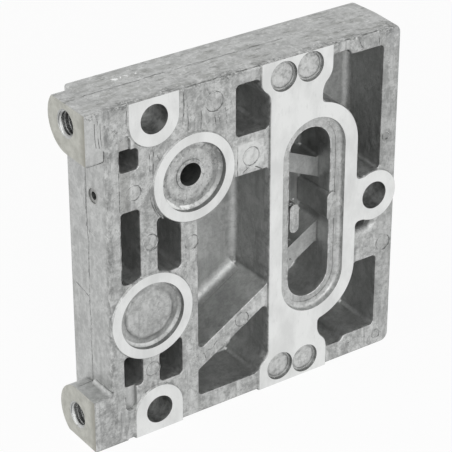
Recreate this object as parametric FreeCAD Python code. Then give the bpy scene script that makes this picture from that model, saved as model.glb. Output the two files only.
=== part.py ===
import FreeCAD, Part
import math
import os

# Driving dimensions, in millimetres and degrees.
# The plate is drawn as it stands: x runs from its left wall, z up from its base, and y
# from its machined front towards its back. The finished part is then moved so that its
# origin is the middle of its footprint.

# Plate
plateWidth = 101.0
plateHeight = 107.0
plateDepth = 21.3
backWall = 4.9
partingDepth = 11.6
outerDraft = 1.5
rightCornerRadius = 2.7
leftCornerRadius = 0.9
outerEdgeRadius = 0.8

# Machined lands, which stand proud of the as-cast front
landHeight = 0.5
landShoulder = 0.35
midLift = 0.15

# Rims and ribs between the pockets
leftRim = 4.4
rightRim = 6.4
topRim = 4.6
bottomRim = 6.0
rimStep = 1.7
ribThickness = 5.7
firstRibX = 13.45
secondRibX = 26.9
diagonalRibX = 43.0
diagonalRibZ = 26.0
diagonalRibAngle = 31.0

# Pockets: how far each edge lies below the top of the plate or above its base
topRowDrop = 20.4
bandDrop = 32.85
smallPocketDrop = 14.1
innerPocketDrop = 37.7
lowerShelfRise = 12.45
lowerPocketGap = 11.25
lowerPocketZ = 17.4
lowerInnerPocketZ = 15.9
topPocketX = 42.85
crescentDrop = 10.85
rightLowerDrop = 21.45
stepX = 82.6
pocketDraft = 1.0
pocketCorner = 1.3
pocketFloorBevel = 0.8
floorBevelShare = 0.8
mouthBevel = 0.35
mouthClearance = 0.05
mouthRunOut = 0.3
crescentRoll = 2.4
rollSteps = 3
shelfDepth = 1.1
shelfWidth = 3.8
shelfReach = 4.5
shelfLowerReach = 7.5

# Ring seats on the front
seatOuterRadius = 13.4
seatInnerRadius = 10.5
upperSeatX = 28.45
upperSeatDrop = 28.15
upperSeatDepth = 2.4
lowerSeatX = 13.9
lowerSeatZ = 39.15
lowerSeatDepth = 2.2
seatFillet = 0.8
filletSteps = 4
collarRadius = 4.5
collarHeight = 0.3
plateauRadius = 7.7
plateauHeight = 0.4
plateauSlope = 0.35
boreRadius = 3.5
boreDepth = 13.0
drillPointAngle = 118.0
ventY = 7.5
ventDrop = 28.6
ventRadius = 1.2
ventSpotRadius = 2.2
ventSpotDepth = 0.4

# Tie-rod holes and their bosses
tieRadius = 4.4
tieBossRadius = 8.0
leftTieX = 15.55
upperTieDrop = 6.7
lowerTieZ = 7.0
rightTieInset = 8.45
tieBridge = 14.1

# Flange round the long slot
slotX = 70.0
slotRadius = 11.2
slotSpan = 41.0
slotWall = 4.45
ledgeDepth = 2.1
ledgeBevel = 0.7
ledgeWidth = 3.8
ledgeStepInset = 1.9
ledgeStepDepth = 0.15
ledgeEdge = 0.6
ledgeEdgeSteps = 2
neckReach = 2.4
footLeftReach = 18.85
footRightReach = 5.8
footLeftStart = 10.45
footLeftEnd = 8.05
footLeftRadius = 4.0
footRightStart = 12.25
footRightEnd = 9.0
footRightRadius = 5.4
flangeFillet = 1.5

# Inside the slot
innerRibDepth = 7.7
upperInnerRibRise = 13.9
upperInnerRibAngle = -24.0
lowerInnerRibDrop = 14.6
lowerInnerRibAngle = 30.6
innerCorner = 0.9
padWidth = 3.2
padLength = 9.3
padTop = 1.8
leftPadInset = 1.8
rightPadInset = -0.6

# Round pads sunk into the flange's ends, each with a raised middle
sunkRadius = 4.6
sunkDepth = 1.2
sunkBevel = 0.3
sunkMiddleRadius = 3.5
sunkMiddleRise = 0.3
sunkLeftX = 58.6
sunkLeftInset = 5.75
sunkRightX = 67.9
sunkRightInset = 5.1

# Round marks of the ejector pins on the cast front, as (x, drop from the top or height above
# the base, radius)
markDepth = 0.12
upperMarks = [(8.9, 27.4, 2.35), (35.5, 7.2, 3.0), (47.9, 27.5, 2.9), (14.2, 44.3, 2.7),
              (27.6, 48.7, 2.35), (96.5, 35.0, 1.3)]
lowerMarks = [(13.9, 21.2, 2.35), (45.0, 26.9, 2.4), (97.1, 35.8, 2.6), (95.8, 3.7, 1.6)]

# Ears on the left wall
earReach = 6.0
earRadius = 9.1
earAxisY = 10.3
upperEarDrop = 6.2
lowerEarZ = 7.65
earRoot = 5.0
earFillet = 1.2
threadCoreRadius = 3.4
threadDepth = 13.5
threadMouthRadius = 4.15

# Places that follow from the sizes above
castFront = landHeight
pocketFloor = plateDepth - backWall
midZ = plateHeight / 2 + midLift
upperTieZ = plateHeight - upperTieDrop
rightTieX = plateWidth - rightTieInset
upperSeatZ = plateHeight - upperSeatDrop
slotTopZ = midZ + slotSpan / 2
slotBottomZ = midZ - slotSpan / 2
flangeRadius = slotRadius + slotWall
innerSlotRadius = slotRadius - ledgeWidth
upperEarZ = plateHeight - upperEarDrop
beyond = 5.0
samePlace = 0.0001


def tangent(angle):
    return math.tan(math.radians(angle))


def point(x, z, y=0.0):
    return FreeCAD.Vector(x, y, z)


# A flat face in the plane of the front, from corners given as (x, z, radius).
def outline(corners):
    edges = []
    stops = []
    count = len(corners)
    for index in range(count):
        x, z, radius = corners[index]
        corner = point(x, z)
        before = point(*corners[index - 1][:2]) - corner
        after = point(*corners[(index + 1) % count][:2]) - corner
        before.normalize()
        after.normalize()
        if radius == 0:
            stops.append((corner, corner))
            continue
        half = before.getAngle(after) / 2
        middle = before + after
        middle.normalize()
        reach = radius / math.tan(half)
        centre = corner + middle * (radius / math.sin(half))
        start = corner + before * reach
        end = corner + after * reach
        edges.append(Part.Arc(start, centre - middle * radius, end).toShape())
        stops.append((start, end))
    for index in range(count):
        start = stops[index - 1][1]
        end = stops[index][0]
        if start.distanceToPoint(end) > samePlace:
            edges.append(Part.makeLine(start, end))
    return Part.Face(Part.Wire(Part.__sortEdges__(edges)))


def rectangle(left, right, bottom, top, radius=0.0):
    return outline([(left, bottom, radius), (right, bottom, radius),
                    (right, top, radius), (left, top, radius)])


def disc(x, z, radius):
    return Part.Face(Part.Wire(Part.makeCircle(radius, point(x, z), FreeCAD.Vector(0, -1, 0))))


# An upright slot shape: two half rounds joined by straight sides.
def obround(x, bottom, top, radius):
    return outline([(x - radius, bottom - radius, radius), (x + radius, bottom - radius, radius),
                    (x + radius, top + radius, radius), (x - radius, top + radius, radius)])


# A straight bar through a point, at an angle to the horizontal.
def bar(x, z, angle, thickness, length):
    face = rectangle(-length / 2, length / 2, -thickness / 2, thickness / 2)
    face.rotate(point(0, 0), FreeCAD.Vector(0, -1, 0), angle)
    face.translate(point(x, z))
    return face


def flat(shape):
    return Part.makeCompound(shape.Faces)


def joined(faces):
    fused = faces[0].multiFuse(faces[1:])
    return flat(Part.makeShell(fused.Faces).removeSplitter())


# Rounds the outward corners of a flat region by one radius and its inward corners by another.
def softened(region, outward, inward):
    region = flat(region).makeOffset2D(-outward).makeOffset2D(outward)
    return region.makeOffset2D(inward).makeOffset2D(-inward)


def prism(region, start, end):
    solid = region.extrude(FreeCAD.Vector(0, end - start, 0))
    solid.translate(FreeCAD.Vector(0, start, 0))
    return solid


# The outline of a region at a depth, grown or shrunk by an offset that keeps its corners.
def section(region, depth, growth):
    face = region if growth == 0 else region.makeOffset2D(growth, join=2)
    wire = face.Faces[0].OuterWire.copy()
    wire.translate(FreeCAD.Vector(0, depth, 0))
    return wire


# A solid through a region's outline at several stations, each given as (depth, growth).
def tapered(region, stations):
    return Part.makeLoft([section(region, *station) for station in stations], True, True)


# The edges of a shape that lie wholly at one depth.
def edgesAt(shape, depth):
    found = []
    for edge in shape.Edges:
        box = edge.BoundBox
        if abs(box.YMin - depth) < samePlace and abs(box.YMax - depth) < samePlace:
            found.append(edge)
    return found


def cylinder(x, y, z, direction, radius, length):
    return Part.makeCylinder(radius, length, FreeCAD.Vector(x, y, z), direction)


# A drilled hole with its pointed end.
def drilled(x, y, z, direction, radius, depth):
    hole = cylinder(x, y, z, direction, radius, depth)
    tip = radius / tangent(drillPointAngle / 2)
    end = FreeCAD.Vector(x, y, z) + direction * depth
    return hole.fuse(Part.makeCone(radius, 0, tip, end, direction))


INTO_FRONT = FreeCAD.Vector(0, 1, 0)
INTO_LEFT = FreeCAD.Vector(1, 0, 0)


def draftInset(depth):
    return abs(depth - partingDepth) * tangent(outerDraft)


# The edges that run through the plate's depth on its left or right side.
def cornerEdges(shape, onLeft):
    return [edge for edge in shape.Edges if edge.BoundBox.YLength > backWall
            and (edge.BoundBox.Center.x < plateWidth / 2) == onLeft]


# One half of the outer casting, from the parting line to the front or to the back. Its top
# and sides lean in, and its base stays flat, because the plate stands on it.
def bodyHalf(end):
    inset = draftInset(end)
    side = [FreeCAD.Vector(0, partingDepth, 0), FreeCAD.Vector(0, end, 0),
            FreeCAD.Vector(0, end, plateHeight - inset),
            FreeCAD.Vector(0, partingDepth, plateHeight)]
    above = [FreeCAD.Vector(0, partingDepth, 0), FreeCAD.Vector(plateWidth, partingDepth, 0),
             FreeCAD.Vector(plateWidth - inset, end, 0), FreeCAD.Vector(inset, end, 0)]
    across = Part.Face(Part.makePolygon(side + side[:1])).extrude(point(plateWidth, 0))
    upright = Part.Face(Part.makePolygon(above + above[:1])).extrude(point(0, plateHeight))
    half = across.common(upright)
    half = half.makeFillet(leftCornerRadius, cornerEdges(half, True))
    half = half.makeFillet(rightCornerRadius, cornerEdges(half, False))
    return half.makeFillet(outerEdgeRadius, edgesAt(half, end))


def plateBody():
    return bodyHalf(castFront).fuse(bodyHalf(plateDepth))


# The outline of the front, to which the lands are cut back.
def frontOutline():
    inset = draftInset(castFront)
    return outline([(inset, 0, leftCornerRadius),
                    (plateWidth - inset, 0, rightCornerRadius),
                    (plateWidth - inset, plateHeight - inset, rightCornerRadius),
                    (inset, plateHeight - inset, leftCornerRadius)])


# The machined outline round the slot, with a foot at the top and at the base and a
# bridge to the right-hand tie-rod boss.
def flangeRegion():
    left = slotX - flangeRadius
    neck = slotX + neckReach
    footLeft = slotX - footLeftReach
    footRight = slotX + footRightReach
    rise = plateHeight / 2
    past = rise + beyond
    half = [(neck, rise - footRightStart, footRightRadius),
            (footRight, rise - footRightEnd, footRightRadius),
            (footRight, past, 0),
            (footLeft, past, 0),
            (footLeft, rise - footLeftEnd, footLeftRadius),
            (left, rise - footLeftStart, footLeftRadius)]
    upper = [(x, midZ + z, radius) for x, z, radius in half]
    lower = [(x, midZ - z, radius) for x, z, radius in reversed(half)]
    column = outline(upper + lower)
    track = obround(slotX, slotBottomZ, slotTopZ, flangeRadius)
    boss = disc(rightTieX, midZ, tieBossRadius)
    bridge = rectangle(slotX, rightTieX, midZ - tieBridge / 2, midZ + tieBridge / 2)
    region = joined([column, track, boss, bridge])
    return region.makeOffset2D(flangeFillet).makeOffset2D(-flangeFillet)


# A tie-rod boss at the edge of the plate, open towards that edge.
def edgeBossRegion(z, edge):
    low = min(z, edge)
    high = max(z, edge)
    side = rectangle(leftTieX - tieBossRadius, leftTieX + tieBossRadius, low, high)
    return joined([disc(leftTieX, z, tieBossRadius), side])


def landRegions():
    return [flangeRegion(),
            disc(upperSeatX, upperSeatZ, seatOuterRadius),
            disc(lowerSeatX, lowerSeatZ, seatOuterRadius),
            edgeBossRegion(upperTieZ, plateHeight + beyond),
            edgeBossRegion(lowerTieZ, -beyond)]


# Lands are cut back to the outline of the plate, so they end flush with its edges.
def lands(regions):
    frame = prism(frontOutline(), -beyond, beyond)
    shoulders = []
    for region in regions:
        shoulder = tapered(region, [(0, 0), (castFront, landShoulder)])
        root = prism(region.makeOffset2D(landShoulder), castFront, castFront + 2 * outerEdgeRadius)
        shoulders.append(shoulder.fuse(root).common(frame))
    return shoulders


def pocketRegions():
    top = plateHeight - topRim
    band = plateHeight - bandDrop
    upperRow = plateHeight - topRowDrop
    half = ribThickness / 2
    firstLeft = firstRibX - half
    firstRight = firstRibX + half
    secondLeft = secondRibX - half
    secondRight = secondRibX + half
    right = plateWidth - rightRim
    stepTop = top - rimStep / 2
    shelf = lowerSeatZ + lowerShelfRise
    lowerTop = midZ - rightLowerDrop
    rib = bar(diagonalRibX, diagonalRibZ, diagonalRibAngle, ribThickness, 2 * plateWidth)
    left = [rectangle(leftRim, firstLeft, upperRow, plateHeight - smallPocketDrop),
            rectangle(leftRim, firstLeft, shelf, band),
            rectangle(firstRight, secondLeft, shelf, plateHeight - innerPocketDrop),
            rectangle(leftRim, firstLeft, lowerPocketZ, lowerSeatZ - lowerPocketGap),
            rectangle(firstRight, secondLeft, lowerInnerPocketZ, lowerSeatZ)]
    middle = [rectangle(topPocketX, slotX, upperRow, top),
              rectangle(secondRight, slotX, bottomRim, band).cut(rib)]
    upper = joined([rectangle(slotX, right, midZ, stepTop),
                    rectangle(slotX, stepX, midZ, stepTop + rimStep)])
    crescent = rectangle(slotX, right, midZ - crescentDrop, midZ)
    lower = joined([rectangle(slotX, right, bottomRim + rimStep, lowerTop),
                    rectangle(slotX, stepX, bottomRim, lowerTop)])
    sharp = [(region, mouthBevel, 1) for region in left + middle + [upper, lower]]
    return sharp + [(crescent, crescentRoll, rollSteps)]


# A blind well with drafted walls, whose corners keep one radius, and a bevelled floor edge. The
# bevel takes no more than a share of the corner's radius, so that the floor keeps its corners.
def well(region, start, floor, corner):
    bevel = min(pocketFloorBevel, floorBevelShare * corner)
    turn = floor - bevel
    taper = (turn - start) * tangent(pocketDraft)
    base = softened(region.makeOffset2D(-taper, join=2), corner, flangeFillet)
    walls = Part.makeLoft([section(region, start, 0), section(base, turn, 0)], True, True)
    return [walls, tapered(base, [(turn, 0), (floor, -bevel)])]


# Stations round the broken edge of an opening, in one flat or in several that make it round.
# The last flat runs on through the wall, so that the cut ends cleanly on it.
def mouthStations(start, size, steps):
    stations = []
    for step in range(steps + 1):
        angle = math.radians(90 * step / steps)
        stations.append((start + size * (1 - math.cos(angle)), size * (1 - math.sin(angle))))
    depth, growth = stations.pop()
    lastDepth, lastGrowth = stations[-1]
    stations.append((depth + (depth - lastDepth) * mouthRunOut, growth - lastGrowth * mouthRunOut))
    return stations


# One pocket: its well and the broken edge at its mouth.
def pocketCutter(region, mouthSize, mouthSteps, keep):
    mouth = tapered(region, mouthStations(castFront, mouthSize, mouthSteps))
    lip = prism(region.makeOffset2D(mouthSize), -beyond, castFront)
    return well(region, castFront, pocketFloor, pocketCorner) + [mouth.fuse(lip).cut(keep)]


# The pockets stop at the feet of the lands' shoulders, and their broken edges just short of them.
def pocketCutters(regions):
    kept = [region.makeOffset2D(landShoulder) for region in regions]
    keep = Part.makeCompound([prism(region.makeOffset2D(mouthClearance), -beyond, pocketFloor)
                              for region in kept])
    cutters = []
    for pocket, mouthSize, mouthSteps in pocketRegions():
        free = pocket.cut(kept[0]).cut(kept[1:])
        for face in softened(free, pocketCorner, flangeFillet).Faces:
            cutters += pocketCutter(face, mouthSize, mouthSteps, keep)
    return cutters


# A round recess turned about an axis through the front: the profile is (radius, depth).
def turned(x, z, profile):
    points = [FreeCAD.Vector(x + radius, depth, z) for radius, depth in profile]
    face = Part.Face(Part.makePolygon(points + [points[0]]))
    return face.revolve(FreeCAD.Vector(x, 0, z), INTO_FRONT, 360)


# Points of the quarter round between a recess's wall and its floor.
def filletProfile(radius, depth):
    points = []
    for step in range(filletSteps + 1):
        angle = math.radians(90 * step / filletSteps)
        points.append((radius - seatFillet * (1 - math.cos(angle)),
                       depth - seatFillet * (1 - math.sin(angle))))
    return points


# The upper seat has a raised collar round a blind bore, which a small drilled vent meets
# from the left wall.
def upperSeatCutters():
    collarTop = upperSeatDepth - collarHeight
    profile = [(0, -beyond), (seatInnerRadius, -beyond)]
    profile += filletProfile(seatInnerRadius, upperSeatDepth)
    profile += [(collarRadius + collarHeight / 2, upperSeatDepth), (collarRadius, collarTop),
                (0, collarTop)]
    seat = turned(upperSeatX, upperSeatZ, profile)
    bore = drilled(upperSeatX, 0, upperSeatZ, INTO_FRONT, boreRadius, boreDepth)
    ventZ = plateHeight - ventDrop
    vent = cylinder(-beyond, ventY, ventZ, INTO_LEFT, ventRadius, beyond + upperSeatX)
    spot = cylinder(-beyond, ventY, ventZ, INTO_LEFT, ventSpotRadius, beyond + ventSpotDepth)
    return [seat, bore, vent, spot]


# The lower seat is blind, with a shallow plateau in the middle of its floor.
def lowerSeatCutters():
    plateauDepth = lowerSeatDepth - plateauHeight
    profile = [(0, -beyond), (seatInnerRadius, -beyond)]
    profile += filletProfile(seatInnerRadius, lowerSeatDepth)
    profile += [(plateauRadius + plateauSlope, lowerSeatDepth), (plateauRadius, plateauDepth),
                (0, plateauDepth)]
    return [turned(lowerSeatX, lowerSeatZ, profile)]


def tieHoleCutters():
    places = [(leftTieX, upperTieZ), (leftTieX, lowerTieZ), (rightTieX, midZ)]
    return [cylinder(x, -beyond, z, INTO_FRONT, tieRadius, plateDepth + 2 * beyond)
            for x, z in places]


def sunkPadCutters():
    middleDepth = sunkDepth - sunkMiddleRise
    profile = [(0, -beyond), (sunkRadius, -beyond), (sunkRadius, sunkDepth - sunkBevel),
               (sunkRadius - sunkBevel, sunkDepth), (sunkMiddleRadius + sunkMiddleRise, sunkDepth),
               (sunkMiddleRadius, middleDepth), (0, middleDepth)]
    cutters = []
    for x, inset in ((sunkLeftX, sunkLeftInset), (sunkRightX, sunkRightInset)):
        rise = plateHeight / 2 - inset
        for z in (midZ + rise, midZ - rise):
            cutters.append(turned(x, z, profile))
    return cutters


def markCutters():
    places = [(x, plateHeight - drop, radius) for x, drop, radius in upperMarks] + lowerMarks
    return [cylinder(x, 0, z, INTO_FRONT, radius, castFront + markDepth)
            for x, z, radius in places]


# The slot steps in to a ledge, and the opening inside the ledge runs down to the floor
# between two slanting ribs.
def slotCutters():
    outer = obround(slotX, slotBottomZ, slotTopZ, slotRadius)
    upper = tapered(outer, [(-beyond, 0), (ledgeDepth - ledgeBevel, 0), (ledgeDepth, -ledgeBevel)])
    lower = prism(outer.makeOffset2D(-ledgeStepInset), 0, ledgeDepth + ledgeStepDepth)
    opening = obround(slotX, slotBottomZ, slotTopZ, innerSlotRadius)
    throat = prism(opening, 0, innerRibDepth)
    edge = tapered(opening, mouthStations(ledgeDepth, ledgeEdge, ledgeEdgeSteps))
    reach = 4 * slotRadius
    ribs = [bar(slotX, midZ + upperInnerRibRise, upperInnerRibAngle, ribThickness, reach),
            bar(slotX, midZ - lowerInnerRibDrop, lowerInnerRibAngle, ribThickness, reach)]
    cutters = [upper, lower, throat, edge]
    for cell in softened(opening.cut(ribs), innerCorner, innerCorner).Faces:
        cutters += well(cell, innerRibDepth, pocketFloor, innerCorner)
    return cutters


# Two short posts stand on either side of the slot, half way up.
def slotPosts():
    half = (padLength - padWidth) / 2
    left = slotX - innerSlotRadius + leftPadInset
    right = slotX + innerSlotRadius - rightPadInset
    root = pocketFloor + backWall / 2
    return [prism(obround(x, midZ - half, midZ + half, padWidth / 2), padTop, root)
            for x in (left, right)]


# A D-shaped ear on the left wall, round towards the back and flat towards the front.
def ear(z, bottom, top):
    length = earReach + earRoot
    barrel = cylinder(-earReach, earAxisY, z, INTO_LEFT, earRadius, length)
    front = Part.makeBox(length, earAxisY - castFront, 2 * earRadius,
                         FreeCAD.Vector(-earReach, castFront, z - earRadius))
    limits = Part.makeBox(length, plateDepth, top - bottom,
                          FreeCAD.Vector(-earReach, castFront, bottom))
    return barrel.fuse(front).removeSplitter().common(limits)


# The hollow fillet between the flat side of an ear, at z, and the wall above or below it.
def earFilletPiece(z, upward):
    centreZ = z + upward * earFillet
    depth = earAxisY - castFront
    corner = FreeCAD.Vector(-earFillet, castFront, min(z, centreZ))
    block = Part.makeBox(2 * earFillet, depth, earFillet, corner)
    return block.cut(cylinder(-earFillet, castFront, centreZ, INTO_FRONT, earFillet, depth))


def ears():
    top = plateHeight - draftInset(castFront)
    return [ear(upperEarZ, 0, top), ear(lowerEarZ, 0, top),
            earFilletPiece(upperEarZ - earRadius, -1), earFilletPiece(lowerEarZ + earRadius, 1)]


def threadCutters():
    cutters = []
    for z in (upperEarZ, lowerEarZ):
        start = -earReach
        cutters.append(drilled(start, earAxisY, z, INTO_LEFT, threadCoreRadius, threadDepth))
        mouth = threadMouthRadius - threadCoreRadius
        cutters.append(Part.makeCone(threadMouthRadius, threadCoreRadius, mouth,
                                     FreeCAD.Vector(start, earAxisY, z), INTO_LEFT))
    return cutters


# Shallow shelves that carry the two left-hand corner pockets on beside the tie-rod bosses.
def shelfCutters():
    radius = shelfWidth / 2
    x = leftRim + radius
    upper = plateHeight - smallPocketDrop
    tops = [(upper - radius, upper + shelfReach - radius),
            (lowerPocketZ - shelfLowerReach + radius, lowerPocketZ + radius)]
    return [prism(obround(x, bottom, top, radius), -beyond, castFront + shelfDepth)
            for bottom, top in tops]


def endPlate():
    regions = landRegions()
    body = plateBody().multiFuse(lands(regions) + ears())
    body = body.cut(pocketCutters(regions))
    body = body.cut(shelfCutters() + sunkPadCutters() + tieHoleCutters() + threadCutters())
    body = body.cut(upperSeatCutters() + lowerSeatCutters() + markCutters())
    body = body.cut(slotCutters()).multiFuse(slotPosts())
    plate = body.removeSplitter().Solids[0]
    plate.translate(FreeCAD.Vector((earReach - plateWidth) / 2, -plateDepth / 2, 0))
    print("solids", len(body.Solids), "valid", plate.isValid(), "volume", round(plate.Volume, 1))
    return plate


os.makedirs("parts", exist_ok=True)
endPlate().exportStep("parts/end_plate.step")
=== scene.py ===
import math
import random

import bmesh
import bpy
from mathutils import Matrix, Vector


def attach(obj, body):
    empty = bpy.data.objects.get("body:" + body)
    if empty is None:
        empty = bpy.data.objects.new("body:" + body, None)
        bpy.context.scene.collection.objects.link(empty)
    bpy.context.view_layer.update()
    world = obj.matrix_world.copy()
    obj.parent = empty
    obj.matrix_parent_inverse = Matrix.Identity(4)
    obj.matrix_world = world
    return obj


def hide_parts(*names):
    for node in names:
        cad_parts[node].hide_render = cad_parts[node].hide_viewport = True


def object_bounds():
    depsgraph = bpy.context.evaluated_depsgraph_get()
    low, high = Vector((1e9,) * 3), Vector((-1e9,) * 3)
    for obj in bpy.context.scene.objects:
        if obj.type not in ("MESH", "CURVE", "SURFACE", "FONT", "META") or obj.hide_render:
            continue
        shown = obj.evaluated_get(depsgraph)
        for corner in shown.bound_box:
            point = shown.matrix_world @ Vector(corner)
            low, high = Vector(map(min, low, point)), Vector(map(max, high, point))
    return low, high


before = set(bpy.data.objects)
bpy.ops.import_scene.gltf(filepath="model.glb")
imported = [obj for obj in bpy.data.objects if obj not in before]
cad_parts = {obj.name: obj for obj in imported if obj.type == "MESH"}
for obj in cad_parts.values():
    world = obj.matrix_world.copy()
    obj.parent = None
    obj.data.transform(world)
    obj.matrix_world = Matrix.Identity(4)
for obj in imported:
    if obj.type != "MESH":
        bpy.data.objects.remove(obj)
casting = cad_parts["end_plate"]
cadLow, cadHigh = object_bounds()
random.seed(7)
mm = 0.001
print("frame loaded", casting.name, len(casting.data.polygons))

# Places on the plate in millimetres: x from the left wall, y from the machined front to the
# back, z from the base. The ears reach further left than the wall.
plate = {
    "earReach": 6.0, "castFront": 0.5, "midZ": 53.65, "partingY": 11.6, "draft": 0.0262,
    "tieHoles": ((15.55, 100.3), (15.55, 7.0), (92.55, 53.65)), "tieRadius": 4.4,
    "upperSeat": (28.45, 78.85), "lowerSeat": (13.9, 39.15), "seatRadius": 10.5,
    "boreRadius": 3.5, "seatFloor": 2.0,
    "slotX": 70.0, "slotRise": 20.5, "slotRadius": 11.2, "ledgeDepth": 2.1,
    "openingRadius": 7.4, "postTop": 1.8,
    "shelves": ((4.0, 8.8, 9.5, 17.8), (5.0, 9.6, 88.0, 97.0)),
    "sunkPads": ((58.6, 101.4), (58.6, 5.9), (67.9, 102.05), (67.9, 5.25)), "sunkRadius": 4.6,
    "earY": 10.3, "earHeights": (100.8, 7.65), "coreRadius": 3.4, "mouthRadius": 4.15,
    "ventY": 7.5, "ventZ": 78.4, "ventRadius": 1.2,
}


# A point of the plate's own drawing, moved into the frame and turned to metres.
def spot(x, y, z):
    return Vector((cadLow.x + (plate["earReach"] + x) * mm, cadLow.y + y * mm, z * mm))


def linear(hexColour):
    values = []
    for start in (0, 2, 4):
        part = int(hexColour[start:start + 2], 16) / 255
        values.append(part / 12.92 if part <= 0.04045 else ((part + 0.055) / 1.055) ** 2.4)
    return (*values, 1.0)


# Adds one node with its settings, and its inputs by name or by number (i0, i1): a socket is
# linked, anything else is the input's own value.
def addNode(tree, kind, settings=None, **inputs):
    node = tree.nodes.new(kind)
    for name, value in (settings or {}).items():
        setattr(node, name, value)
    for name, value in inputs.items():
        key = int(name[1:]) if name[1:].isdigit() else name.replace("_", " ")
        if isinstance(value, bpy.types.NodeSocket):
            tree.links.new(value, node.inputs[key])
        else:
            node.inputs[key].default_value = value
    return node


def newMaterial(name):
    material = bpy.data.materials.new(name)
    material.use_nodes = True
    material.node_tree.nodes.clear()
    return material, material.node_tree


# The plate's own millimetres, for patterns whose sizes are then real ones.
def plateSpace(tree):
    place = addNode(tree, "ShaderNodeTexCoord").outputs["Object"]
    return addNode(tree, "ShaderNodeMapping", Vector=place, Location=spot(0, 0, 0) * (-1 / mm),
                   Scale=(1 / mm, 1 / mm, 1 / mm)).outputs[0]


# A cloud of the given size in mm, drawn out along each axis by the stretch.
def cloud(tree, place, size, stretch=(1, 1, 1), detail=3.0, roughness=0.6, distortion=0.0):
    drawn = addNode(tree, "ShaderNodeMapping", Vector=place,
                    Scale=tuple(1 / (size * part) for part in stretch))
    return addNode(tree, "ShaderNodeTexNoise", Vector=drawn.outputs[0], Scale=1.0, Detail=detail,
                   Roughness=roughness, Distortion=distortion).outputs["Fac"]


# 0 before the first value and full from the second.
def ramp(tree, value, start, end, full=1.0):
    return addNode(tree, "ShaderNodeMapRange", Value=value, From_Min=start, From_Max=end,
                   To_Min=0.0, To_Max=full).outputs[0]


# The parts of a cloud that reach the start value, and are full from the end value.
def blotches(tree, place, size, start, end, share=1.0, stretch=(1, 1, 1)):
    return ramp(tree, cloud(tree, place, size, stretch), start, end, share)


# Full near a point, and 0 past the reach.
def nearPoint(tree, place, point, reach, share=1.0):
    away = addNode(tree, "ShaderNodeVectorMath", {"operation": "DISTANCE"}, i0=place, i1=point)
    return ramp(tree, away.outputs["Value"], reach, reach / 2, share)


# Full in the middle of a line where the value is the centre, and 0 past its half width.
def alongLine(tree, value, centre, half):
    away = addNode(tree, "ShaderNodeMath", {"operation": "SUBTRACT"}, i0=value, i1=centre)
    size = addNode(tree, "ShaderNodeMath", {"operation": "ABSOLUTE"}, i0=away.outputs[0])
    return ramp(tree, size.outputs[0], half, half * 0.4)


# Where all the masks meet.
def overlap(tree, first, *others):
    for other in others:
        first = addNode(tree, "ShaderNodeMath", {"operation": "MULTIPLY"}, i0=first,
                        i1=other).outputs[0]
    return first


# The base, a colour or a socket, covered by the share with the new colour.
def tinted(tree, base, share, colour):
    return addNode(tree, "ShaderNodeMix", {"data_type": "RGBA"}, Factor=share, i6=base,
                   i7=linear(colour)).outputs[2]


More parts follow.
